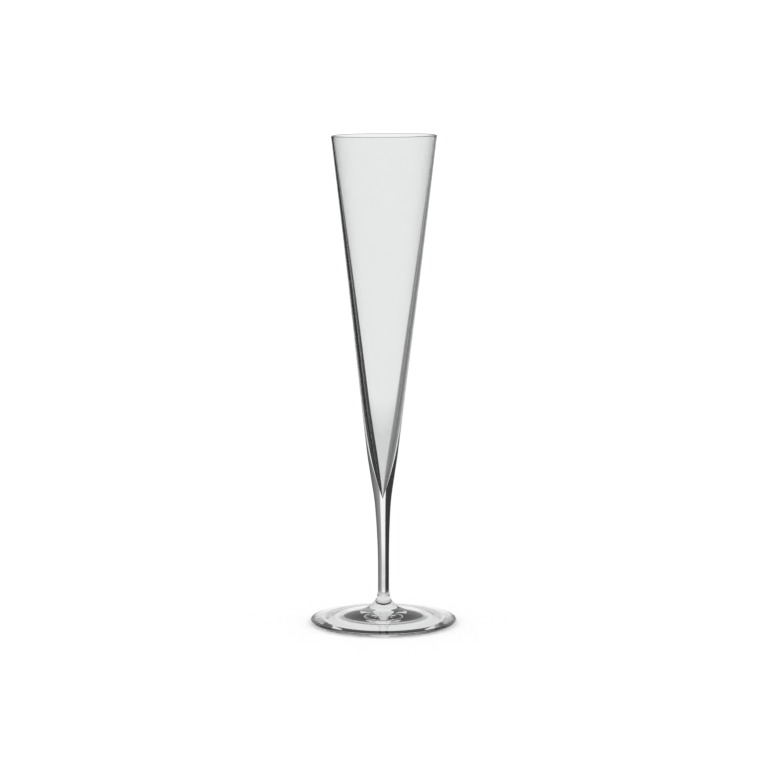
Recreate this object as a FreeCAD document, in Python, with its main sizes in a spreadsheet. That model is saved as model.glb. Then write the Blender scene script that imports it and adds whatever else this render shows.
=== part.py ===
import FreeCAD, Part
import math
import os

import Sketcher
from FreeCAD import Vector

# A clear champagne flute: bowl, stem and foot, each a separate solid of revolution about Z.
# The foot rests on the plane Z = 0 and the rim is at the top. Lengths are in millimetres.
# Each outline is a half section in the XZ plane, and is turned a full circle about the Z axis.

DRIVING_DIMENSIONS = (
    ("overall_height", 240.6, "resting plane to the top of the rim"),
    ("rim_radius", 25.7, "outside of the rim"),
    ("rim_wall", 0.78, "wall at the rim, rounded over its whole thickness"),
    ("shoulder_height", 87.0, "lower end of the straight outer cone"),
    ("shoulder_radius", 7.88, "outside radius there"),
    ("shoulder_round", 200.0, "radius of the faint shoulder below the cone"),
    ("waist_height", 66.5, "where the base starts to sweep into the stem"),
    ("waist_round", 110.0, "radius of that sweep"),
    ("cavity_turn_height", 115.0, "lower end of the straight inner cone"),
    ("cavity_turn_radius", 9.05, "inside radius there"),
    ("cavity_tip_height", 62.2, "lowest point of the hollow"),
    ("stem_top_height", 57.5, "plane where the stem is fused to the bowl"),
    ("stem_top_radius", 3.8, "outside radius there"),
    ("stem_radius", 2.73, "slimmest part of the stem"),
    ("stem_draw_round", 437.0, "radius of the long taper under the bowl"),
    ("stem_flare_round", 14.0, "radius of the flare at the stem's lower end"),
    ("foot_joint_height", 11.4, "plane where the foot is fused to the stem"),
    ("foot_joint_radius", 3.9, "outside radius there"),
    ("foot_radius", 35.95, "outside of the foot"),
    ("edge_low_round", 2.0, "radius of the lower part of the foot's edge"),
    ("edge_top_round", 0.5, "radius of its upper part"),
    ("brim_inner_radius", 20.0, "inner end of the foot's flat conical brim"),
    ("brim_inner_height", 4.35, "top of the foot there"),
    ("skirt_round", 44.0, "radius of the sweep from the brim up to the collar"),
    ("collar_round", 6.5, "radius of the collar, from the sweep up to the stem"),
    ("land_inner_radius", 29.0, "inner edge of the flat ring that the foot rests on"),
    ("underside_rise", 2.2, "height of the hollow underside at the axis"),
)
SHEET = "Dimensions"
START, END, CENTRE = 1, 2, 3
ORIGIN_POINT = (-1, 1)
X_AXIS = -1
Z_AXIS = -2
TOP_OF_CIRCLE = 90.0


def make_sheet(doc):
    """Write the driving dimensions into a spreadsheet, one named cell each."""
    sheet = doc.addObject("Spreadsheet::Sheet", SHEET)
    for row, (name, value, note) in enumerate(DRIVING_DIMENSIONS, start=1):
        sheet.set(f"A{row}", name)
        sheet.set(f"B{row}", str(value))
        sheet.set(f"C{row}", note)
        sheet.setAlias(f"B{row}", name)
    doc.recompute()
    return sheet


def cell(name):
    """The expression that reads one dimension."""
    return f"{SHEET}.{name}"


class HalfSection:
    """A sketch of half a section in the XZ plane: x is the radius, y is the height."""

    def __init__(self, body, name):
        self.sketch = body.newObject("Sketcher::SketchObject", name)
        planes = [item for item in body.Origin.OriginFeatures if item.Role == "XZ_Plane"]
        self.sketch.AttachmentSupport = [(planes[0], "")]
        self.sketch.MapMode = "FlatFace"

    def line(self, start, end):
        return self.sketch.addGeometry(Part.LineSegment(Vector(*start, 0), Vector(*end, 0)), False)

    def arc(self, centre, radius, start_angle, end_angle):
        """An arc, anticlockwise from one angle to the other, in degrees."""
        circle = Part.Circle(Vector(*centre, 0), Vector(0, 0, 1), radius)
        arc = Part.ArcOfCircle(circle, math.radians(start_angle), math.radians(end_angle))
        return self.sketch.addGeometry(arc, False)

    def join(self, kind, first, first_end, second, second_end):
        """Join two ends: Coincident lets them meet at an angle, Tangent makes them run smoothly."""
        self.sketch.addConstraint(Sketcher.Constraint(kind, first, first_end, second, second_end))

    def on_axis(self, piece, end):
        self.sketch.addConstraint(Sketcher.Constraint("PointOnObject", piece, end, Z_AXIS))

    def on_ground(self, piece, end):
        self.sketch.addConstraint(Sketcher.Constraint("PointOnObject", piece, end, X_AXIS))

    def level(self, piece):
        self.sketch.addConstraint(Sketcher.Constraint("Horizontal", piece))

    def bind(self, constraint, expression):
        index = self.sketch.addConstraint(constraint)
        self.sketch.setExpression(f"Constraints[{index}]", expression)

    def at_radius(self, piece, end, value, expression):
        constraint = Sketcher.Constraint("DistanceX", *ORIGIN_POINT, piece, end, value)
        self.bind(constraint, expression)

    def at_height(self, piece, end, value, expression):
        constraint = Sketcher.Constraint("DistanceY", *ORIGIN_POINT, piece, end, value)
        self.bind(constraint, expression)

    def with_radius(self, piece, value, expression):
        self.bind(Sketcher.Constraint("Radius", piece, value), expression)


def turn(body, section, name):
    """Turn a half section a full circle about Z."""
    revolution = body.newObject("PartDesign::Revolution", name)
    revolution.Profile = section.sketch
    revolution.ReferenceAxis = (section.sketch, ["V_Axis"])
    revolution.Angle = 360.0
    body.Tip = revolution
    return revolution


def make_body(doc, label):
    body = doc.addObject("PartDesign::Body", label.capitalize())
    body.Label = label
    body.Placement = FreeCAD.Placement()
    return body


def make_bowl(doc, size):
    """The bowl: a straight cone outside and inside, closed by a solid base that sweeps inwards.

    The wall is thinnest at the fire-polished rim and thickens all the way down, because the
    hollow narrows faster than the outside. The hollow ends in a pointed tip on the axis.
    """
    body = make_body(doc, "bowl")
    section = HalfSection(body, "BowlSection")
    base = size["stem_top_height"]
    base_edge = (size["stem_top_radius"], base)
    waist = (4.8, size["waist_height"])
    shoulder = (size["shoulder_radius"], size["shoulder_height"])
    shoulder_end = (6.8, 80.0)
    rim_round = size["rim_wall"] / 2
    rim_centre = (size["rim_radius"] - rim_round, size["overall_height"] - rim_round)
    turn_point = (size["cavity_turn_radius"], size["cavity_turn_height"])
    tip = (0, size["cavity_tip_height"])

    floor = section.line((0, base), base_edge)
    sweep = section.arc((waist[0] + size["waist_round"], waist[1] + 15), size["waist_round"], 171, 176)
    base_side = section.line(waist, shoulder_end)
    shoulder_arc = section.arc((-190, 110), size["shoulder_round"], -9, -7)
    cone_outside = section.line(shoulder, (rim_centre[0] + rim_round, rim_centre[1]))
    rim = section.arc(rim_centre, rim_round, -7, 172)
    cone_inside = section.line((rim_centre[0] - rim_round, rim_centre[1]), turn_point)
    bullet = section.arc((-140, 100), 145, -15, -8)
    core = section.line(tip, (0, base))

    section.join("Coincident", floor, END, sweep, END)
    section.join("Tangent", sweep, START, base_side, START)
    section.join("Tangent", base_side, END, shoulder_arc, START)
    section.join("Tangent", shoulder_arc, END, cone_outside, START)
    section.join("Tangent", cone_outside, END, rim, START)
    section.join("Tangent", rim, END, cone_inside, START)
    section.join("Tangent", cone_inside, END, bullet, END)
    section.join("Coincident", bullet, START, core, START)
    section.join("Coincident", core, END, floor, START)
    section.on_axis(floor, START)
    section.on_axis(core, START)
    section.level(floor)
    section.at_height(floor, START, base, cell("stem_top_height"))
    section.at_radius(floor, END, base_edge[0], cell("stem_top_radius"))
    section.with_radius(sweep, size["waist_round"], cell("waist_round"))
    section.at_height(sweep, START, waist[1], cell("waist_height"))
    section.with_radius(shoulder_arc, size["shoulder_round"], cell("shoulder_round"))
    section.at_radius(cone_outside, START, shoulder[0], cell("shoulder_radius"))
    section.at_height(cone_outside, START, shoulder[1], cell("shoulder_height"))
    section.with_radius(rim, rim_round, cell("rim_wall") + " / 2")
    section.at_radius(rim, CENTRE, rim_centre[0], cell("rim_radius") + " - " + cell("rim_wall") + " / 2")
    section.at_height(
        rim, CENTRE, rim_centre[1], cell("overall_height") + " - " + cell("rim_wall") + " / 2"
    )
    section.at_radius(cone_inside, END, turn_point[0], cell("cavity_turn_radius"))
    section.at_height(cone_inside, END, turn_point[1], cell("cavity_turn_height"))
    section.at_height(bullet, START, tip[1], cell("cavity_tip_height"))
    turn(body, section, "BowlTurn")
    return body


def make_stem(doc, size):
    """The stem: a short straight middle, a long taper up to the bowl and a flare down to the foot."""
    body = make_body(doc, "stem")
    section = HalfSection(body, "StemSection")
    radius = size["stem_radius"]
    bottom_edge = (size["foot_joint_radius"], size["foot_joint_height"])
    top_edge = (size["stem_top_radius"], size["stem_top_height"])
    flare_top = (radius, bottom_edge[1] + 5.6)
    draw_bottom = (radius, top_edge[1] - 30)

    floor = section.line((0, bottom_edge[1]), bottom_edge)
    flare_centre = (radius + size["stem_flare_round"], flare_top[1])
    flare = section.arc(flare_centre, size["stem_flare_round"], 180, 204)
    side = section.line(flare_top, draw_bottom)
    draw_centre = (radius + size["stem_draw_round"], draw_bottom[1])
    draw = section.arc(draw_centre, size["stem_draw_round"], 176, 180)
    roof = section.line(top_edge, (0, top_edge[1]))
    core = section.line((0, top_edge[1]), (0, bottom_edge[1]))

    section.join("Coincident", floor, END, flare, END)
    section.join("Tangent", flare, START, side, START)
    section.join("Tangent", side, END, draw, END)
    section.join("Coincident", draw, START, roof, START)
    section.join("Coincident", roof, END, core, START)
    section.join("Coincident", core, END, floor, START)
    section.on_axis(core, START)
    section.on_axis(core, END)
    section.level(floor)
    section.level(roof)
    section.sketch.addConstraint(Sketcher.Constraint("Vertical", side))
    section.at_radius(floor, END, bottom_edge[0], cell("foot_joint_radius"))
    section.at_height(floor, END, bottom_edge[1], cell("foot_joint_height"))
    section.with_radius(flare, size["stem_flare_round"], cell("stem_flare_round"))
    section.at_radius(side, START, radius, cell("stem_radius"))
    section.with_radius(draw, size["stem_draw_round"], cell("stem_draw_round"))
    section.at_radius(roof, START, top_edge[0], cell("stem_top_radius"))
    section.at_height(roof, START, top_edge[1], cell("stem_top_height"))
    turn(body, section, "StemTurn")
    return body


def make_foot(doc, size):
    """The foot: a shallow cone with a rounded edge, swept up at its middle to a collar for the stem.

    The edge is full below and tight above. The underside is a shallow dome, so the glass rests on
    a flat ring near its edge. The collar meets the stem's flare at a faint crease, where the two
    gathers of glass were fused.
    """
    body = make_body(doc, "foot")
    section = HalfSection(body, "FootSection")
    low_round = size["edge_low_round"]
    top_round = size["edge_top_round"]
    outside = size["foot_radius"]
    land_inner = (size["land_inner_radius"], 0)
    rise = size["underside_rise"]
    brim_inner = (size["brim_inner_radius"], size["brim_inner_height"])
    joint = (size["foot_joint_radius"], size["foot_joint_height"])
    dome_round = (land_inner[0] ** 2 + rise ** 2) / (2 * rise)
    dome_edge = 90 - math.degrees(math.asin(land_inner[0] / dome_round))
    skirt_centre = (brim_inner[0] + 5.7, brim_inner[1] + 43.6)

    underside = section.arc((0, rise - dome_round), dome_round, dome_edge, TOP_OF_CIRCLE)
    land = section.line(land_inner, (outside - low_round, 0))
    edge_low = section.arc((outside - low_round, low_round), low_round, -90, 0)
    edge_top = section.arc((outside - top_round, low_round), top_round, 0, 84)
    brim = section.line((outside - top_round, low_round + top_round), brim_inner)
    skirt = section.arc(skirt_centre, size["skirt_round"], 245, 263)
    collar = section.arc((joint[0] + 6, joint[1] + 2.6), size["collar_round"], 204, 245)
    roof = section.line(joint, (0, joint[1]))
    core = section.line((0, joint[1]), (0, rise))

    section.join("Coincident", underside, START, land, START)
    section.join("Tangent", land, END, edge_low, START)
    section.join("Tangent", edge_low, END, edge_top, START)
    section.join("Tangent", edge_top, END, brim, START)
    section.join("Tangent", brim, END, skirt, END)
    section.join("Tangent", skirt, START, collar, END)
    section.join("Coincident", collar, START, roof, START)
    section.join("Coincident", roof, END, core, START)
    section.join("Coincident", core, END, underside, END)
    section.on_axis(core, START)
    section.on_axis(core, END)
    section.on_axis(underside, CENTRE)
    section.level(land)
    section.level(roof)
    section.at_radius(land, START, land_inner[0], cell("land_inner_radius"))
    section.on_ground(land, START)
    section.at_height(core, END, rise, cell("underside_rise"))
    section.with_radius(edge_low, low_round, cell("edge_low_round"))
    section.at_radius(edge_low, CENTRE, outside - low_round, cell("foot_radius") + " - " + cell("edge_low_round"))
    section.at_height(edge_low, END, low_round, cell("edge_low_round"))
    section.with_radius(edge_top, top_round, cell("edge_top_round"))
    section.at_radius(brim, END, brim_inner[0], cell("brim_inner_radius"))
    section.at_height(brim, END, brim_inner[1], cell("brim_inner_height"))
    section.with_radius(skirt, size["skirt_round"], cell("skirt_round"))
    section.at_radius(roof, START, joint[0], cell("foot_joint_radius"))
    section.at_height(roof, START, joint[1], cell("foot_joint_height"))
    section.with_radius(collar, size["collar_round"], cell("collar_round"))
    turn(body, section, "FootTurn")
    return body


def check(doc, bodies):
    """Stop if anything in the document failed, or if a piece has no sound solid."""
    for item in doc.Objects:
        if "Invalid" in item.State or "Error" in item.State:
            raise RuntimeError(f"{item.Label} failed: {item.State}")
    for body in bodies:
        shape = body.Shape
        if shape.isNull() or not shape.isValid() or len(shape.Solids) != 1:
            raise RuntimeError(f"{body.Label} is not one sound solid")


def main():
    doc = FreeCAD.newDocument("ChampagneFlute")
    make_sheet(doc)
    size = {name: value for name, value, note in DRIVING_DIMENSIONS}
    bodies = [make_bowl(doc, size), make_stem(doc, size), make_foot(doc, size)]
    doc.recompute()
    check(doc, bodies)
    os.makedirs("parts", exist_ok=True)
    for body in bodies:
        body.Shape.exportStep(f"parts/{body.Label}.step")
        print(f"{body.Label}: {body.Shape.Volume:.0f} mm3")
    return doc


main()
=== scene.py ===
import math

import bpy
import numpy as np
from bpy.props import FloatProperty, FloatVectorProperty, PointerProperty
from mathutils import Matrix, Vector


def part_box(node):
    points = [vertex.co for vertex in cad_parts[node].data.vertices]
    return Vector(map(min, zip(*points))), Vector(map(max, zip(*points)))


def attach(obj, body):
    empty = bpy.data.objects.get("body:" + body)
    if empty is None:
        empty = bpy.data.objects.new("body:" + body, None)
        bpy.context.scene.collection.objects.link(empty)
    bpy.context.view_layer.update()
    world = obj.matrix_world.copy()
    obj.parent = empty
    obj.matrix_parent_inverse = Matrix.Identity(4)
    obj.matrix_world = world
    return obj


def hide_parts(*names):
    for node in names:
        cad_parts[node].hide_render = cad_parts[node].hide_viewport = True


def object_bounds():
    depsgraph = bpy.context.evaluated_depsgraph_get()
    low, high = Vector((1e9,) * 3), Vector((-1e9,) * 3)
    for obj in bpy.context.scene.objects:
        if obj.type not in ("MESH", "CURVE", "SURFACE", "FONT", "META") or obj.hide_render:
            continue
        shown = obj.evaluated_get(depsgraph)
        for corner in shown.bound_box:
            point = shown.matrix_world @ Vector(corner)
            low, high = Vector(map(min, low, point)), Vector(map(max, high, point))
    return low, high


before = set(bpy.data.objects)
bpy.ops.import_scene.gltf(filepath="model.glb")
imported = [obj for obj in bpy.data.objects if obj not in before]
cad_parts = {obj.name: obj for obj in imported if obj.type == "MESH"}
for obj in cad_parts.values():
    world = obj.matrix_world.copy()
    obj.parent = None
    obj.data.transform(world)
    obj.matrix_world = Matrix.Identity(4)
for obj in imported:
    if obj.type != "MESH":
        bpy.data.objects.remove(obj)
CAD_LOW, CAD_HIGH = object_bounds()

bl_info = {
    "name": "Champagne Flute",
    "version": (1, 0, 0),
    "blender": (4, 5, 0),
    "location": "View3D > Sidebar > Flute",
    "description": "Builds a hand-made clear glass flute, piece by piece, and its studio",
    "category": "Object",
}

MM = 0.001
BOWL_LOW, BOWL_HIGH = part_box("bowl")
FOOT_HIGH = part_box("foot")[1]

# Radius and height in millimetres, down the stem's flare and out over the top of the foot.
FLARE_AND_TOP = (
    (2.73, 24), (2.78, 16.5), (3.09, 13.6), (3.81, 11.6), (5, 10.1), (7.4, 7.9),
    (10.5, 6.55), (14.5, 5.55), (19.3, 4.4), (21.2, 4.15), (24.5, 3.95), (29.5, 3.5),
)
# Radius and height in millimetres under the foot, from the axis out to near the resting ring.
UNDERSIDE = ((0, 2.2), (6, 2.2), (11, 2.2), (16, 2.2), (21, 1.9), (26, 1.4))
# Height in millimetres, and the share of the lean by which the axis lies to the side there.
SIDEWAYS_LEAN = ((0, 0), (25, 0), (80, -1), (200, 0.5))
# Change of radius with height where the bowl's solid base runs into the stem.
UPPER_JOINT_TAPER = 0.0715

# Rows of points along each stretch of an outline, fine enough that no facet shows in the glass.
HOLLOW_ROWS = 121
RIM_ROWS = 17
BOWL_SIDE_ROWS = 161
STEM_SIDE_ROWS = 101
FLARE_ROWS = 261
EDGE_TOP_ROWS = 15
EDGE_LOW_ROWS = 19
RING_ROWS = 4
UNDERSIDE_ROWS = 81
# Above 1, the bowl's rows crowd towards its lower end, where the curves are tight.
CROWDING = 1.3

# The noise runs up the glass at this share of its speed round it, so its waves are long upwards.
WAVE_STRETCH = 0.35

# Sine of the elevation, and how bright the backdrop is there when seen in the glass. Below the horizon these
# stops stand in for the table, and the dark stop at -0.2 is painted shade of the foot on the table.
BACKDROP_AND_PAINTED_SHADE = ((-0.45, 0.95), (-0.32, 0.88), (-0.2, 0.77), (-0.155, 0.98), (0.05, 0.99), (0.15, 0.66))
FLOOR_HALF = 6
# The glowing sheet of painted table light lies this far under the floor, which lets through what the glass
# bends.
PATCH_DEPTH = 0.2 * MM
CAMERA_PLACE = (0, -1.344, 0.292)
CAMERA_AIM = (0.00024, 0, 0.1189)
CAMERA_LENS = 129.7
CAMERA_SENSOR = 36


def linear(hex_colour):
    """An sRGB hex colour as linear red, green and blue."""
    values = [int(hex_colour[i:i + 2], 16) / 255 for i in (1, 3, 5)]
    return [v / 12.92 if v <= 0.04045 else ((v + 0.055) / 1.055) ** 2.4 for v in values]


def ring_radius(node, height):
    """The outside radius of a CAD node's edge at one height."""
    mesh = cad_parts[node].data
    points = np.empty(len(mesh.vertices) * 3)
    mesh.vertices.foreach_get("co", points)
    points = points.reshape(-1, 3)
    level = points[np.abs(points[:, 2] - height) < 0.01 * MM]
    return float(np.hypot(level[:, 0], level[:, 1]).max())


UPPER_JOINT = BOWL_LOW.z
LOWER_JOINT = FOOT_HIGH.z
UPPER_JOINT_RADIUS = ring_radius("bowl", UPPER_JOINT)


def length(name, description, default):
    """A length in metres as a user's setting."""
    return FloatProperty(
        name=name, description=description, default=default, unit="LENGTH", subtype="DISTANCE", precision=5
    )


class FluteSizes(bpy.types.PropertyGroup):
    rim_wall: length("Rim wall", "Thickness of the fire-polished rim", 0.78 * MM)
    shoulder_height: length("Shoulder height", "Lower end of the straight cone", 87 * MM)
    shoulder_radius: length("Shoulder radius", "Outside radius there", 7.88 * MM)
    knee_height: length("Knee height", "Where the solid base falls in faster", 79.3 * MM)
    knee_radius: length("Knee radius", "Outside radius there", 6.83 * MM)
    waist_height: length("Waist height", "Where the base starts to sweep into the stem", 66.5 * MM)
    waist_radius: length("Waist radius", "Outside radius there", 4.83 * MM)
    cavity_turn_height: length("Hollow's turn height", "Lower end of the hollow's straight cone", 115 * MM)
    cavity_turn_radius: length("Hollow's turn radius", "Inside radius there", 9.05 * MM)
    cavity_tip_height: length("Hollow's tip height", "Lowest point of the hollow", 62.2 * MM)
    stem_radius: length("Stem radius", "Slimmest part of the stem", 2.73 * MM)
    stem_slim_top: length("Stem's slim top", "Upper end of the slimmest part", 27 * MM)
    foot_edge: length("Foot edge", "Thickness of the foot at its edge", 2.354 * MM)
    edge_level: length("Edge level", "Height of the edge's widest line", 1.954 * MM)
    edge_top_reach: length("Edge top reach", "Width of the edge's upper rounding", 1.819 * MM)
    edge_low_reach: length("Edge low reach", "Width of the edge's lower rounding", 3.029 * MM)
    land_inner_radius: length("Land inner radius", "Inner edge of the ring that it rests on", 28.995 * MM)
    lean: length("Lean", "How far the axis strays sideways, as in any hand-made glass", 0.49 * MM)
    rim_tilt: length("Rim tilt", "How far the rim is out of level from side to side", 0.45 * MM)


class GlassLook(bpy.types.PropertyGroup):
    tint: FloatVectorProperty(
        name="Tint", description="Colour of the clear glass", subtype="COLOR", size=3, min=0, max=1,
        default=linear("#FCFDFD"),
    )
    refraction: FloatProperty(
        name="Refractive index", description="1.52 is lead-free crystal", default=1.52, min=1.4, max=1.8
    )
    ripple_depth: length("Ripple depth", "Height of the faint waves left by the blowing", 0.002 * MM)
    ripple_size: length("Ripple size", "Spacing of those waves", 6 * MM)


class StudioLook(bpy.types.PropertyGroup):
    floor_colour: FloatVectorProperty(
        name="Floor", description="Colour of the floor", subtype="COLOR", size=3, min=0, max=1,
        default=linear("#F7F7F7"),
    )
    light: FloatProperty(name="Light", description="Brightness of the white surround", default=1.1)
    left_flag: FloatProperty(name="Left flag", description="Brightness of the left flag", default=0.012)
    right_flag: FloatProperty(name="Right flag", description="Brightness of the right flag", default=0.03)
    top_flag: FloatProperty(name="Top flag", description="Brightness of the top flag", default=0.52)
    bottom_flag: FloatProperty(name="Bottom flag", description="Brightness of the low flag", default=0.044)
    front_flag: FloatProperty(name="Front flag", description="Brightness of the front flag", default=0.043)
    left_far: FloatProperty(name="Left far", description="Its brightness behind the glass", default=0.06)
    right_far: FloatProperty(name="Right far", description="Its brightness behind the glass", default=0.44)
    top_far: FloatProperty(name="Top far", description="Its brightness behind the glass", default=0.8)
    bottom_far: FloatProperty(name="Bottom far", description="Its brightness behind the glass", default=0.255)
    # The table in the glass is painted light: a glowing sheet, evenly bright out to Table core and fading out
    # by Table edge.
    patch_light: FloatProperty(
        name="Table light", description="Brightness of the table in the glass", default=0.789
    )
    patch_core: length("Table core", "Radius of the evenly lit patch of table", 0.029)
    patch_edge: length("Table edge", "Radius where its light ends", 0.055)
    flag_gap: length("Flag gap", "From the glass to the front flag", 0.45)
    side_gap: length("Side gap", "From the glass to the left and right flags", 0.338)
    top_gap: length("Top gap", "From the glass to the top and bottom flags", 0.392)
    flag_reach: length("Flag reach", "How far the flags run behind the glass", 1.5)


def between(knots, at):
    """Cubic curve through knots, each (position, value, slope).

    Between two knots, with t from 0 to 1, the value is the cubic that starts at the first value
    and slope and ends at the second value and slope (Hermite's form).
    """
    place, value, slope = np.array(sorted(knots)).T
    i = np.clip(np.searchsorted(place, at) - 1, 0, len(place) - 2)
    width = place[i + 1] - place[i]
    t = (at - place[i]) / width
    rise_in = value[i] * (2 * t**3 - 3 * t**2 + 1) + slope[i] * width * (t**3 - 2 * t**2 + t)
    rise_out = value[i + 1] * (3 * t**2 - 2 * t**3) + slope[i + 1] * width * (t**3 - t**2)
    return rise_in + rise_out


def outside_radius(sizes, height):
    """Outside radius of the bowl and the stem at each height, as a chain of smooth cubics."""
    rim_round = sizes.rim_wall / 2
    rim = (BOWL_HIGH.z - rim_round, BOWL_HIGH.x)
    shoulder = (sizes.shoulder_height, sizes.shoulder_radius)
    waist = (sizes.waist_height, sizes.waist_radius)
    knee = (sizes.knee_height, sizes.knee_radius)
    cone = (rim[1] - shoulder[1]) / (rim[0] - shoulder[0])
    base = (knee[1] - waist[1]) / (knee[0] - waist[0])
    knots = [
        (*rim, cone),
        (*shoulder, cone),
        (*knee, base),
        (*waist, base),
        (UPPER_JOINT, UPPER_JOINT_RADIUS, UPPER_JOINT_TAPER),
        (sizes.stem_slim_top, sizes.stem_radius, 0),
        (FLARE_AND_TOP[0][1] * MM, sizes.stem_radius, 0),
    ]
    return between(knots, height)


def inside_radius(sizes, height):
    """Radius of the hollow: a straight cone down to its turn, then a faint parabola to the sharp tip."""
    top = (BOWL_HIGH.z - sizes.rim_wall / 2, BOWL_HIGH.x - sizes.rim_wall)
    turn = (sizes.cavity_turn_height, sizes.cavity_turn_radius)
    cone = (top[1] - turn[1]) / (top[0] - turn[0])
    tip_slope = 2 * turn[1] / (turn[0] - sizes.cavity_tip_height) - cone
    knots = [(*top, cone), (*turn, cone), (sizes.cavity_tip_height, 0, tip_slope)]
    return between(knots, height)


def natural_spline(place, value, at, level_start=False):
    """Cubic spline through values at rising places, worked out at other places.

    Its second derivatives solve the spline's three-term equations, and are zero at both ends, or
    else the curve starts level. In between, each piece is the cubic with those second derivatives
    and values at its two ends.
    """
    gap = np.diff(place)
    rise = np.diff(value) / gap
    equations = np.eye(len(place))
    inner = np.arange(1, len(place) - 1)
    equations[inner, inner - 1] = gap[:-1]
    equations[inner, inner] = 2 * (gap[:-1] + gap[1:])
    equations[inner, inner + 1] = gap[1:]
    answers = np.zeros(len(place))
    answers[1:-1] = 6 * np.diff(rise)
    if level_start:
        equations[0, :2] = (2 * gap[0], gap[0])
        answers[0] = 6 * rise[0]
    bend = np.linalg.solve(equations, answers)
    i = np.clip(np.searchsorted(place, at) - 1, 0, len(place) - 2)
    after = at - place[i]
    before = place[i + 1] - at
    curved = (bend[i + 1] * after**3 + bend[i] * before**3) / (6 * gap[i])
    straight = (value[i + 1] * after + value[i] * before) / gap[i]
    return curved + straight - gap[i] * (bend[i + 1] * after + bend[i] * before) / 6


def flare_and_top(sizes):
    """Radius and height down the stem's flare and out over the foot, as far as its edge.

    A natural spline by chord length through the FLARE_AND_TOP points, whose last point is where the
    edge's upper quarter ellipse has the slope of the line from it to the point before.
    """
    points = np.array(FLARE_AND_TOP) * MM
    upper = sizes.foot_edge - sizes.edge_level
    start = FOOT_HIGH.x - sizes.edge_top_reach
    slope = (points[-1, 1] - sizes.foot_edge) / (start - points[-1, 0])
    turn = math.atan2(upper, sizes.edge_top_reach * slope)
    meeting = (start + sizes.edge_top_reach * math.cos(turn), sizes.edge_level + upper * math.sin(turn))
    points = np.vstack([points, meeting])
    along = np.r_[0, np.cumsum(np.hypot(*np.diff(points, axis=0).T))]
    at = np.linspace(0, along[-1], FLARE_ROWS)
    curve = [natural_spline(along, column, at) for column in points.T]
    return np.stack(curve, axis=-1), turn


def underside_height(sizes, radius):
    """Height of the hollow underside, a spline through the UNDERSIDE points that is level at the axis."""
    points = np.vstack([np.array(UNDERSIDE) * MM, (sizes.land_inner_radius, 0)])
    return natural_spline(points[:, 0], points[:, 1], radius, level_start=True)


def strayed_axis(sizes, height):
    """Where the axis lies at each height: true at the foot, aside at the bowl's base, back at the rim.

    Sideways it is a chain of cubics, level at each SIDEWAYS_LEAN share and unchanged above the
    last one. Front to back it is a half sine up to the rim, at half the lean.
    """
    shares = [(level * MM, share, 0) for level, share in SIDEWAYS_LEAN]
    top = (BOWL_HIGH.z, SIDEWAYS_LEAN[-1][1], 0)
    side = sizes.lean * between([*shares, top], height)
    back = 0.5 * sizes.lean * np.sin(math.pi * height / BOWL_HIGH.z)
    return side, back


def rim_drop(sizes, height):
    """How far the left side hangs below the right one: rim_tilt at the rim, nothing at mid height.

    In between it grows as the cube of the share of the way up.
    """
    half = BOWL_HIGH.z / 2
    return sizes.rim_tilt * np.clip(height / half - 1, 0, None) ** 3


def ring_points(sizes, radius, height, segments):
    """Rings of points: the axis at each height, plus the radius at each angle, less the rim's drop.

    The drop is whole on the left, half in front and behind, and nothing on the right.
    """
    angle = np.arange(segments) * (2 * math.pi / segments)
    side, back = strayed_axis(sizes, height)
    rings = np.empty((len(radius), segments, 3))
    rings[:, :, 0] = side[:, None] + radius[:, None] * np.cos(angle)
    rings[:, :, 1] = back[:, None] + radius[:, None] * np.sin(angle)
    rings[:, :, 2] = height[:, None] - rim_drop(sizes, height)[:, None] * (1 - np.cos(angle)) / 2
    return rings


def ring_faces(count, segments):
    """Fan round the first pole, quads between the rings, and fan round the last pole.

    The rings' points come first, ring by ring, and the two poles last.
    """
    row, column = np.meshgrid(np.arange(count - 1), np.arange(segments), indexing="ij")
    ahead = (column + 1) % segments
    quads = np.stack(
        [row * segments + column, (row + 1) * segments + column,
         (row + 1) * segments + ahead, row * segments + ahead], axis=-1
    ).reshape(-1, 4)
    here = np.arange(segments)
    after = (here + 1) % segments
    last_row = (count - 1) * segments
    first_pole = np.full(segments, count * segments)
    fan_first = np.stack([first_pole, here, after], axis=-1)
    fan_last = np.stack([first_pole + 1, last_row + after, last_row + here], axis=-1)
    return fan_first.tolist() + quads.tolist() + fan_last.tolist()


def mark_seams(mesh, count, segments, cap_first, cap_last):
    """Give the fused ends the seam's material, flat faces and a sharp ring, and smooth the rest."""
    seam = np.zeros(len(mesh.polygons), dtype=bool)
    seam[:segments] = cap_first
    seam[len(seam) - segments:] = cap_last
    mesh.polygons.foreach_set("use_smooth", ~seam)
    mesh.polygons.foreach_set("material_index", seam.astype(np.int32))
    ends = np.empty(len(mesh.edges) * 2, dtype=np.int32)
    mesh.edges.foreach_get("vertices", ends)
    ends = ends.reshape(-1, 2)
    last_row = (count - 1) * segments
    in_first = (ends < segments).all(axis=1)
    in_last = ((ends >= last_row) & (ends < count * segments)).all(axis=1)
    mesh.edges.foreach_set("use_edge_sharp", in_first & cap_first | in_last & cap_last)


def turned(name, sizes, outline, segments, cap_first, cap_last):
    """Turn an outline of (radius, height) rows about the axis into a closed mesh.

    The first and last rows are on the axis and become one vertex each. Where the piece is fused to
    its neighbour, the row of faces beside that end is its flat seam.
    """
    radius, height = np.asarray(outline).T
    rings = ring_points(sizes, radius, height, segments)
    count = len(rings) - 2
    points = np.vstack([rings[1:-1].reshape(-1, 3), rings[0, 0], rings[-1, 0]])
    mesh = bpy.data.meshes.new(name)
    mesh.from_pydata(points.tolist(), [], ring_faces(count, segments))
    mark_seams(mesh, count, segments, cap_first, cap_last)
    mesh.update()
    return mesh


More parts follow.
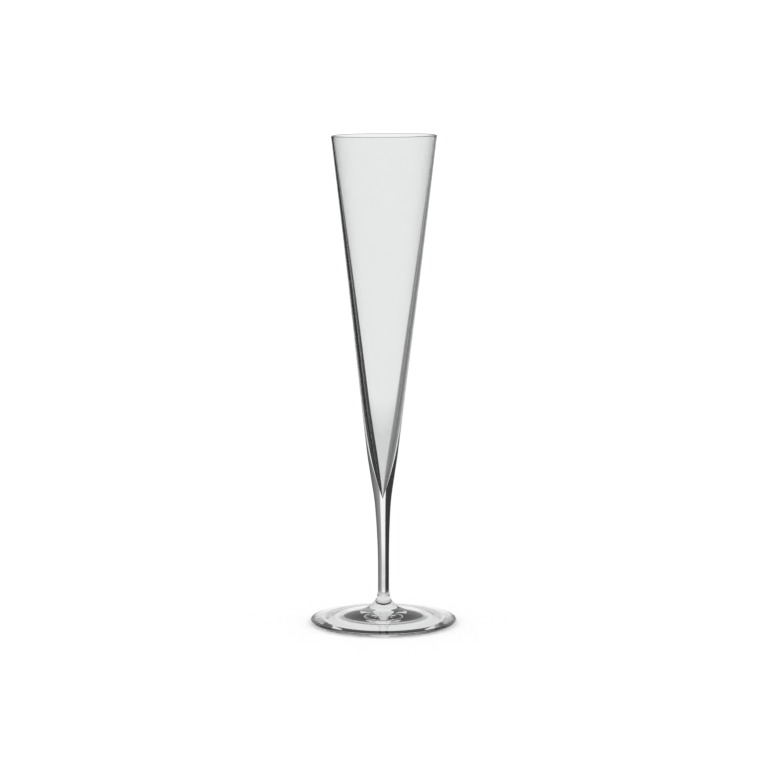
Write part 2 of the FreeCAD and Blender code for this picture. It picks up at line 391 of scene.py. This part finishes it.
def rounded(centre, radius, start, end, steps):
    """Points on an arc, anticlockwise or clockwise from one angle to the other, in degrees."""
    angle = np.radians(np.linspace(start, end, steps))
    return np.stack([centre[0] + radius * np.cos(angle), centre[1] + radius * np.sin(angle)], axis=-1)


def rows(radius, height):
    """Two columns, radius and height, as outline points."""
    return np.stack(np.broadcast_arrays(radius, height), axis=-1)


def bowl_outline(sizes):
    """From the hollow's tip up its wall, over the round rim and down the outside to the seam."""
    rim_round = sizes.rim_wall / 2
    rim_centre = (BOWL_HIGH.x - rim_round, BOWL_HIGH.z - rim_round)
    share = np.linspace(0, 1, HOLLOW_ROWS) ** CROWDING
    wall = sizes.cavity_tip_height + (rim_centre[1] - sizes.cavity_tip_height) * share
    inside = rows(inside_radius(sizes, wall), wall)
    rim = rounded(rim_centre, rim_round, 180, 0, RIM_ROWS)[1:-1]
    fall = UPPER_JOINT + (rim_centre[1] - UPPER_JOINT) * np.linspace(1, 0, BOWL_SIDE_ROWS) ** CROWDING
    outside = rows(outside_radius(sizes, fall), fall)
    return np.vstack([inside, rim, outside, [[0, UPPER_JOINT]]])


def split_at_joint(curve):
    """The flare's points above the lower joint, and the ones below it, both ending on the joint."""
    above = curve[curve[:, 1] > LOWER_JOINT]
    below = curve[curve[:, 1] < LOWER_JOINT]
    share = (above[-1, 1] - LOWER_JOINT) / (above[-1, 1] - below[0, 1])
    joint = above[-1] + share * (below[0] - above[-1])
    return np.vstack([above, joint]), np.vstack([joint, below])


def stem_outline(sizes):
    """From the upper seam down the side and the flare to the lower seam."""
    flare = split_at_joint(flare_and_top(sizes)[0])[0]
    fall = np.linspace(UPPER_JOINT, flare[0, 1], STEM_SIDE_ROWS)[:-1]
    side = rows(outside_radius(sizes, fall), fall)
    return np.vstack([[[0, UPPER_JOINT]], side, flare, [[0, LOWER_JOINT]]])


def foot_outline(sizes):
    """From the seam out along the top, round the edge's two quarter ellipses, and in underneath."""
    curve, turn = flare_and_top(sizes)
    top = split_at_joint(curve)[1]
    upper = np.linspace(turn, 0, EDGE_TOP_ROWS)[1:]
    lower = np.linspace(0, -math.pi / 2, EDGE_LOW_ROWS)[1:]
    edge_top = rows(
        FOOT_HIGH.x + sizes.edge_top_reach * (np.cos(upper) - 1),
        sizes.edge_level + (sizes.foot_edge - sizes.edge_level) * np.sin(upper),
    )
    edge_low = rows(
        FOOT_HIGH.x + sizes.edge_low_reach * (np.cos(lower) - 1), sizes.edge_level * (1 + np.sin(lower))
    )
    ring_outer_radius = FOOT_HIGH.x - sizes.edge_low_reach
    land = rows(np.linspace(ring_outer_radius, sizes.land_inner_radius, RING_ROWS)[1:], 0)
    hollow = sizes.land_inner_radius * np.linspace(1, 0, UNDERSIDE_ROWS)[1:]
    return np.vstack(
        [[[0, LOWER_JOINT]], top, edge_top, edge_low, land, rows(hollow, underside_height(sizes, hollow))]
    )


def add(tree, kind, settings=(), links=()):
    """Add a node, set its sockets and properties, and link (its input, from node, from output)."""
    node = tree.nodes.new(kind)
    for key, value in dict(settings).items():
        if isinstance(key, int) or key in node.inputs:
            node.inputs[key].default_value = value
        else:
            setattr(node, key, value)
    for socket, source, output in links:
        tree.links.new(source.outputs[output], node.inputs[socket])
    return node


def new_tree(name):
    """An empty node material and its tree."""
    material = bpy.data.materials.new(name)
    material.use_nodes = True
    material.node_tree.nodes.clear()
    return material, material.node_tree


def blown_crystal(look):
    """Lead-free crystal, blown and fire polished.

    To the eye it is clear and almost colourless, with sharp highlights, and its outline goes dark
    where the thick edge bends the view round to the unlit side. Faint long waves from the blowing
    run round and up the glass.
    """
    material, tree = new_tree("blown_crystal")
    place = add(tree, "ShaderNodeTexCoord")
    stretch = add(
        tree, "ShaderNodeMapping", {"Scale": (1, 1, WAVE_STRETCH)}, [("Vector", place, "Object")]
    )
    wave = add(
        tree, "ShaderNodeTexNoise", {"Scale": 1 / look.ripple_size, "Detail": 1, "Roughness": 0.4},
        [("Vector", stretch, "Vector")],
    )
    ripple = add(
        tree, "ShaderNodeBump", {"Strength": 1, "Distance": look.ripple_depth}, [("Height", wave, "Fac")]
    )
    glass = add(
        tree, "ShaderNodeBsdfPrincipled",
        {"Base Color": (*look.tint, 1), "Roughness": 0, "IOR": look.refraction, "Transmission Weight": 1},
        [("Normal", ripple, "Normal")],
    )
    add(tree, "ShaderNodeOutputMaterial", (), [("Surface", glass, "BSDF")])
    return material


def fused_seam():
    """A hot seam between two gathers of the same glass: it bends and reflects nothing."""
    material, tree = new_tree("fused_seam")
    clear = add(tree, "ShaderNodeBsdfTransparent")
    add(tree, "ShaderNodeOutputMaterial", (), [("Surface", clear, "BSDF")])
    return material


def glass_materials(scene):
    """The crystal and the seam, made once and shared by the three pieces."""
    found = [bpy.data.materials.get(name) for name in ("blown_crystal", "fused_seam")]
    if None in found:
        found = [blown_crystal(scene.flute_glass), fused_seam()]
    return found


def make_piece(scene, node, outline, segments, cap_first, cap_last):
    """One glass piece in place of its CAD node."""
    mesh = turned(f"{node}_glass", scene.flute_sizes, outline, segments, cap_first, cap_last)
    for material in glass_materials(scene):
        mesh.materials.append(material)
    piece = bpy.data.objects.new(f"{node}_glass", mesh)
    scene.collection.objects.link(piece)
    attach(piece, "root")
    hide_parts(node)


class FLUTE_OT_bowl(bpy.types.Operator):
    """Blow the bowl, with its solid base"""

    bl_idname = "flute.bowl"
    bl_label = "Make the bowl"

    def execute(self, context):
        scene = context.scene
        outline = bowl_outline(scene.flute_sizes)
        make_piece(scene, "bowl", outline, segments=224, cap_first=False, cap_last=True)
        return {"FINISHED"}


class FLUTE_OT_stem(bpy.types.Operator):
    """Draw the stem between the bowl and the foot"""

    bl_idname = "flute.stem"
    bl_label = "Make the stem"

    def execute(self, context):
        scene = context.scene
        outline = stem_outline(scene.flute_sizes)
        make_piece(scene, "stem", outline, segments=128, cap_first=True, cap_last=True)
        return {"FINISHED"}


class FLUTE_OT_foot(bpy.types.Operator):
    """Open the foot into a disc"""

    bl_idname = "flute.foot"
    bl_label = "Make the foot"

    def execute(self, context):
        scene = context.scene
        outline = foot_outline(scene.flute_sizes)
        make_piece(scene, "foot", outline, segments=256, cap_first=True, cap_last=False)
        return {"FINISHED"}


def after_floor(tree):
    """1 for light that has already lit the floor, and 0 for what goes to the eye."""
    path = add(tree, "ShaderNodeLightPath")
    return add(
        tree, "ShaderNodeMath", {"operation": "GREATER_THAN", 1: 0.5}, [(0, path, "Diffuse Depth")]
    )


def stage_sheet(name, corners, material):
    """A flat sheet of the stage, with four corners."""
    mesh = bpy.data.meshes.new(name)
    mesh.from_pydata(corners, [], [(0, 1, 2, 3)])
    mesh.materials.append(material)
    sheet = bpy.data.objects.new(name, mesh)
    bpy.context.scene.collection.objects.link(sheet)
    return sheet


def level_square(half):
    """Corners of a level square about the origin, facing up."""
    return [(-half, -half, 0), (half, -half, 0), (half, half, 0), (-half, half, 0)]


def only_in_glass(sheet):
    """Hide a sheet from the eye, from the floor's light and from shadows: only the glass shows it."""
    sheet.visible_camera = False
    sheet.visible_diffuse = False
    sheet.visible_shadow = False


def glow(name, near, far, studio):
    """A card that only the glass sees: light that has already lit the floor passes through it.

    Its brightness changes evenly from near, at the camera's end, to far, at the end behind the glass.
    """
    material, tree = new_tree(name)
    place = add(tree, "ShaderNodeTexCoord")
    axes = add(tree, "ShaderNodeSeparateXYZ", (), [("Vector", place, "Object")])
    fade = add(
        tree, "ShaderNodeMapRange",
        {"From Min": -studio.flag_gap, "From Max": studio.flag_reach, "To Min": near, "To Max": far},
        [("Value", axes, "Y")],
    )
    light = add(tree, "ShaderNodeEmission", (), [("Strength", fade, "Result")])
    clear = add(tree, "ShaderNodeBsdfTransparent")
    both = add(
        tree, "ShaderNodeMixShader", (),
        [("Fac", after_floor(tree), "Value"), (1, light, "Emission"), (2, clear, "BSDF")],
    )
    add(tree, "ShaderNodeOutputMaterial", (), [("Surface", both, "Shader")])
    return material


def card(name, corners, near, far, studio, box):
    """A flat card of the light box, seen only through and in the glass."""
    flag = stage_sheet(name, corners, glow(name, near, far, studio))
    flag.parent = box
    only_in_glass(flag)


def bent_before_floor(tree):
    """1 for what the glass bends or mirrors towards the eye, 0 for the eye and for the floor's light."""
    path = add(tree, "ShaderNodeLightPath")
    bent = add(
        tree, "ShaderNodeMath", {"operation": "MAXIMUM"},
        [(0, path, "Is Glossy Ray"), (1, path, "Is Transmission Ray")],
    )
    before_floor = add(
        tree, "ShaderNodeMath", {"operation": "LESS_THAN", 1: 0.5}, [(0, path, "Diffuse Depth")]
    )
    return add(
        tree, "ShaderNodeMath", {"operation": "MULTIPLY"},
        [(0, bent, "Value"), (1, before_floor, "Value")],
    )


def surround(scene, studio):
    """White all round: a little over full white for the eye, and a lit backdrop in the glass.

    The backdrop's brightness follows the sine of the elevation, through the stops of the elevation table
    above. Below the horizon they stand in for the table as the glass sees it, with a band of painted shade of
    the foot near a sine of -0.2.
    """
    world = bpy.data.worlds.new("studio")
    scene.world = world
    world.use_nodes = True
    tree = world.node_tree
    tree.nodes.clear()
    bent = bent_before_floor(tree)
    white = add(tree, "ShaderNodeBackground", {"Color": (1, 1, 1, 1), "Strength": studio.light})
    place = add(tree, "ShaderNodeTexCoord")
    axes = add(tree, "ShaderNodeSeparateXYZ", (), [("Vector", place, "Generated")])
    rise = add(tree, "ShaderNodeMath", {"operation": "ADD", 1: 0.5}, [(0, axes, "Z")])
    fade = add(tree, "ShaderNodeValToRGB", (), [("Fac", rise, "Value")])
    stops = fade.color_ramp.elements
    while len(stops) < len(BACKDROP_AND_PAINTED_SHADE):
        stops.new(0.5)
    for stop, (level, brightness) in zip(stops, BACKDROP_AND_PAINTED_SHADE):
        stop.position = level + 0.5
        stop.color = (brightness, brightness, brightness, 1)
    backlight = add(tree, "ShaderNodeBackground", (), [("Color", fade, "Color")])
    both = add(
        tree, "ShaderNodeMixShader", (),
        [("Fac", bent, "Value"), (1, white, "Background"), (2, backlight, "Background")],
    )
    add(tree, "ShaderNodeOutputWorld", (), [("Surface", both, "Shader")])


def lay_floor(studio):
    """A white table for the eye. The glass looks through it, to the glowing sheet of painted table light and
    to the backdrop, whose stops below the horizon paint the table's shade.
    """
    material, tree = new_tree("white_table")
    paper = add(tree, "ShaderNodeBsdfDiffuse", {"Color": (*studio.floor_colour, 1)})
    clear = add(tree, "ShaderNodeBsdfTransparent")
    bent = bent_before_floor(tree)
    both = add(
        tree, "ShaderNodeMixShader", (), [("Fac", bent, "Value"), (1, paper, "BSDF"), (2, clear, "BSDF")]
    )
    add(tree, "ShaderNodeOutputMaterial", (), [("Surface", both, "Shader")])
    stage_sheet("floor", level_square(FLOOR_HALF), material)


def place_camera(scene):
    """A long lens, a little above the rim, looking slightly down at the middle of the glass."""
    data = bpy.data.cameras.new("camera")
    data.sensor_width = CAMERA_SENSOR
    data.lens = CAMERA_LENS
    camera = bpy.data.objects.new("camera", data)
    camera.location = CAMERA_PLACE
    view = Vector(CAMERA_AIM) - camera.location
    camera.rotation_euler = view.to_track_quat("-Z", "Y").to_euler()
    scene.collection.objects.link(camera)
    scene.camera = camera
    return camera


def set_light_box(scene, studio, camera):
    """Four flags and a front one make a dim box round the glass, open to the white behind it.

    The box turns with the camera, as the glass would on a turntable, so that the glass has the
    same dark outlines from all sides.
    """
    box = bpy.data.objects.new("light_box", None)
    box.location = (CAD_LOW + CAD_HIGH) / 2
    scene.collection.objects.link(box)
    face = box.constraints.new("TRACK_TO")
    face.target = camera
    face.track_axis = "TRACK_NEGATIVE_Y"
    face.up_axis = "UP_Z"
    near, reach = -studio.flag_gap, studio.flag_reach
    side, top = studio.side_gap, studio.top_gap
    front = [(-side, near, -top), (side, near, -top), (side, near, top), (-side, near, top)]
    card("front_flag", front, studio.front_flag, studio.front_flag, studio, box)
    left = [(-side, near, -top), (-side, reach, -top), (-side, reach, top), (-side, near, top)]
    card("left_flag", left, studio.left_flag, studio.left_far, studio, box)
    right = [(side, near, -top), (side, reach, -top), (side, reach, top), (side, near, top)]
    card("right_flag", right, studio.right_flag, studio.right_far, studio, box)
    low = [(-side, near, -top), (-side, reach, -top), (side, reach, -top), (side, near, -top)]
    card("bottom_flag", low, studio.bottom_flag, studio.bottom_far, studio, box)
    high = [(-side, near, top), (-side, reach, top), (side, reach, top), (side, near, top)]
    card("top_flag", high, studio.top_flag, studio.top_far, studio, box)


def painted_table_light(studio):
    """Painted light: a glowing sheet in place of the lit patch of table round the glass, as the glass sees
    it, fading out into the flags' dark.
    """
    material, tree = new_tree("painted_table_light")
    place = add(tree, "ShaderNodeTexCoord")
    away = add(tree, "ShaderNodeVectorMath", {"operation": "LENGTH"}, [(0, place, "Object")])
    fade = add(
        tree, "ShaderNodeMapRange",
        {"interpolation_type": "SMOOTHSTEP", "From Min": studio.patch_core, "From Max": studio.patch_edge,
         "To Min": 0, "To Max": 1},
        [("Value", away, "Value")],
    )
    unseen = add(
        tree, "ShaderNodeMath", {"operation": "MAXIMUM"},
        [(0, fade, "Result"), (1, after_floor(tree), "Value")],
    )
    light = add(tree, "ShaderNodeEmission", {"Strength": studio.patch_light})
    clear = add(tree, "ShaderNodeBsdfTransparent")
    both = add(
        tree, "ShaderNodeMixShader", (),
        [("Fac", unseen, "Value"), (1, light, "Emission"), (2, clear, "BSDF")],
    )
    add(tree, "ShaderNodeOutputMaterial", (), [("Surface", both, "Shader")])
    # The sheet glows by itself, so the light on this patch of table is painted, not cast by a lamp.
    patch = stage_sheet("painted_table_light", level_square(2 * studio.patch_edge), material)
    patch.location.z = -PATCH_DEPTH
    only_in_glass(patch)


class FLUTE_OT_stage(bpy.types.Operator):
    """Set up the floor, the light and the camera"""

    bl_idname = "flute.stage"
    bl_label = "Set the stage"

    def execute(self, context):
        scene = context.scene
        studio = scene.flute_studio
        lay_floor(studio)
        surround(scene, studio)
        camera = place_camera(scene)
        set_light_box(scene, studio, camera)
        painted_table_light(studio)
        scene.view_settings.view_transform = "Standard"
        return {"FINISHED"}


class FLUTE_PT_panel(bpy.types.Panel):
    """Sizes, glass and studio of the flute"""

    bl_idname = "FLUTE_PT_panel"
    bl_label = "Champagne Flute"
    bl_space_type = "VIEW_3D"
    bl_region_type = "UI"
    bl_category = "Flute"

    def draw(self, context):
        layout = self.layout
        for group in (context.scene.flute_sizes, context.scene.flute_glass, context.scene.flute_studio):
            box = layout.box()
            for name in group.__annotations__:
                box.prop(group, name)
        for operator in OPERATORS:
            layout.operator(operator.bl_idname)


OPERATORS = (FLUTE_OT_bowl, FLUTE_OT_stem, FLUTE_OT_foot, FLUTE_OT_stage)
CLASSES = (FluteSizes, GlassLook, StudioLook, *OPERATORS, FLUTE_PT_panel)


def register():
    for item in CLASSES:
        bpy.utils.register_class(item)
    bpy.types.Scene.flute_sizes = PointerProperty(type=FluteSizes)
    bpy.types.Scene.flute_glass = PointerProperty(type=GlassLook)
    bpy.types.Scene.flute_studio = PointerProperty(type=StudioLook)


def unregister():
    del bpy.types.Scene.flute_studio
    del bpy.types.Scene.flute_glass
    del bpy.types.Scene.flute_sizes
    for item in reversed(CLASSES):
        bpy.utils.unregister_class(item)


def main():
    """Register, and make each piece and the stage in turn."""
    register()
    bpy.ops.flute.bowl()
    bpy.ops.flute.stem()
    bpy.ops.flute.foot()
    bpy.ops.flute.stage()


if __name__ == "__main__":
    main()
